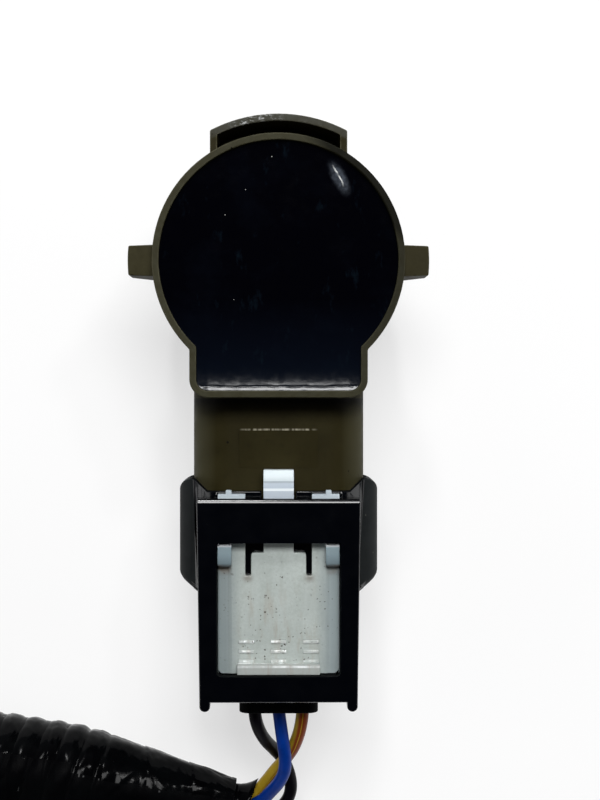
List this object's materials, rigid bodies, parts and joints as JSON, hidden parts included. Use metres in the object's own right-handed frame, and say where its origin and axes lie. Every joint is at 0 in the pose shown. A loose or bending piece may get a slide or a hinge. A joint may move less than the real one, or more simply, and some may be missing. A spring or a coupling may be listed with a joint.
{
  "type": "ultrasonic parking sensor",
  "caption": "Ultrasonic bumper parking sensor with a potted round olive head, side lugs and loop, a latched black plug with a white lock plate, and a taped wire pigtail.",
  "frame": {"origin": "centre of the flat sensing face, which lies on the ground plane", "axes": "+Z from the sensing face to the potted back, +Y from the plug to the loop at the head's far side, +X to the right seen from the potted back"},
  "size_m": [0.1068, 0.0783, 0.022],
  "materials": {
    "olive_shell": "moulded, satin",
    "cup_metal": "drawn, plain",
    "piezo": "fired",
    "foam": "open foam",
    "silicone": "moulded",
    "copper": "drawn copper",
    "laminate": "glass laminate",
    "chip": "moulded",
    "winding": "enamelled",
    "capacitor": "fired",
    "pin_metal": "stamped",
    "resin": "cast, glossy",
    "black_plug": "moulded, satin",
    "white_lock": "moulded, translucent, soiled",
    "seal_rubber": "moulded",
    "tinned": "tin plated",
    "purple_pvc": "extruded",
    "blue_pvc": "extruded",
    "yellow_pvc": "extruded, striped",
    "conduit_plastic": "corrugated",
    "tape": "wound tape"
  },
  "bodies": {
    "root": {"sensor_housing": "olive_shell", "transducer_cup": "cup_metal", "piezo_disc": "piezo", "damping_pad": "foam", "decoupling_ring": "silicone", "signal_lead": "copper", "ground_lead": "copper", "circuit_board": "laminate", "control_chip": "chip", "transformer": "winding", "capacitors": "capacitor", "contact_pin_left": "pin_metal", "contact_pin_middle": "pin_metal", "contact_pin_right": "pin_metal", "potting": "resin", "plug_housing": "black_plug", "lock_plate": "white_lock", "interface_seal": "seal_rubber", "terminal_left": "tinned", "terminal_middle": "tinned", "terminal_right": "tinned", "wire_seal_left": "seal_rubber", "wire_seal_middle": "seal_rubber", "wire_seal_right": "seal_rubber", "seal_cap": "black_plug", "wire_purple": "purple_pvc", "wire_blue": "blue_pvc", "wire_yellow": "yellow_pvc", "bare_strands": "copper", "conduit": "conduit_plastic", "tape_wrap": "tape"}
  },
  "joints": []
}
